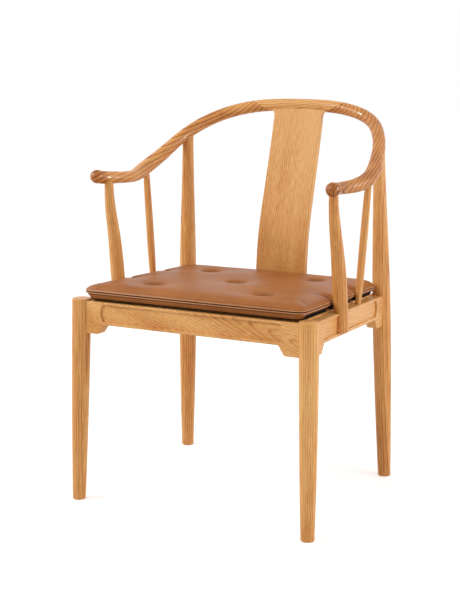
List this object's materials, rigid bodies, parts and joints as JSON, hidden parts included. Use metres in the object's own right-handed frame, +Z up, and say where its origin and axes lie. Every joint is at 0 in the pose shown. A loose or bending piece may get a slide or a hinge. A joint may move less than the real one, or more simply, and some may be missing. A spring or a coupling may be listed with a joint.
{
  "type": "horseshoe back armchair",
  "caption": "Wooden armchair with a round bent rail from hand to hand, a flat curved splat, turned side posts and a loose leather seat cushion.",
  "frame": {"origin": "middle of the overall box in plan, on the floor", "axes": "+Z up, the sitter faces -Y, +X to the viewer's right when the chair is seen from the front"},
  "size_m": [0.5606, 0.55, 0.82],
  "materials": {
    "wood": "satin",
    "inner_wood": "matte",
    "leather": "satin",
    "leather_edge": "matte",
    "leather_dark": "satin",
    "foam": "matte",
    "steel": "satin"
  },
  "bodies": {
    "frame": {"arm_post_left": "wood", "arm_post_right": "wood", "back_apron": "wood", "back_corner_block_left": "inner_wood", "back_corner_block_right": "inner_wood", "back_leg_left": "wood", "back_leg_right": "wood", "back_splat": "wood", "block_screws": "steel", "front_apron": "wood", "front_corner_block_left": "inner_wood", "front_corner_block_right": "inner_wood", "front_leg_left": "wood", "front_leg_right": "wood", "post_screws": "steel", "rail_arm_left": "wood", "rail_arm_right": "wood", "rail_back": "wood", "scarf_dowels": "wood", "seat_panel": "inner_wood", "seat_screws": "steel", "side_apron_left": "wood", "side_apron_right": "wood", "side_spindle_left": "wood", "side_spindle_right": "wood"},
    "cushion": {"cushion_bottom_cover": "leather_dark", "cushion_core": "foam", "cushion_seam_flange": "leather_edge", "cushion_top_cover": "leather"}
  },
  "joints": [
    {"name": "cushion_lift", "type": "slide", "parent": "frame", "child": "cushion", "axis": [0, 0, 1], "range_m": [0, 0.05]}
  ]
}
